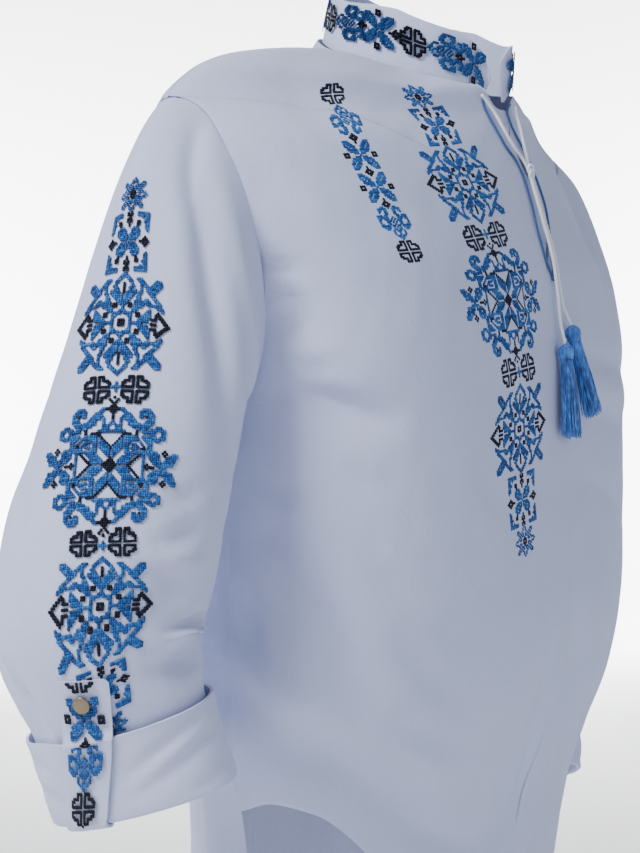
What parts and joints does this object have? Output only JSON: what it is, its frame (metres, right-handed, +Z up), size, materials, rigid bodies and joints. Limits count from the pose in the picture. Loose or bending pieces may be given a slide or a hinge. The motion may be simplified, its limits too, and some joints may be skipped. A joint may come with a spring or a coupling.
{
  "type": "embroidered shirt",
  "caption": "Pull-over shirt in its worn form, with a stand collar, a slit neck closed by tasselled cords, rolled sleeves held by tabs, and stitched geometric flower panels.",
  "frame": {"origin": "midway between the two neck ends of the shoulder seams, where the wearer's shoulders carry the shirt", "axes": "+Z up, the shirt faces -Y, +X towards the wearer's left sleeve"},
  "size_m": [0.7663, 0.2878, 0.7582],
  "materials": {
    "linen": "matt white linen",
    "blue_thread": "shiny blue thread",
    "white_cord": "white round cord",
    "aged_brass": "dark aged brass"
  },
  "bodies": {
    "root": {"front": "linen", "back": "linen", "collar": "linen", "sleeve_right": "linen", "sleeve_left": "linen", "cuff_right": "linen", "cuff_left": "linen", "tab_right": "linen", "tab_left": "linen", "slit_binding": "blue_thread", "tassel_right": "blue_thread", "tassel_left": "blue_thread", "tie_right": "white_cord", "tie_left": "white_cord", "tie_knot": "white_cord", "snap_right": "aged_brass", "snap_left": "aged_brass"}
  },
  "joints": []
}
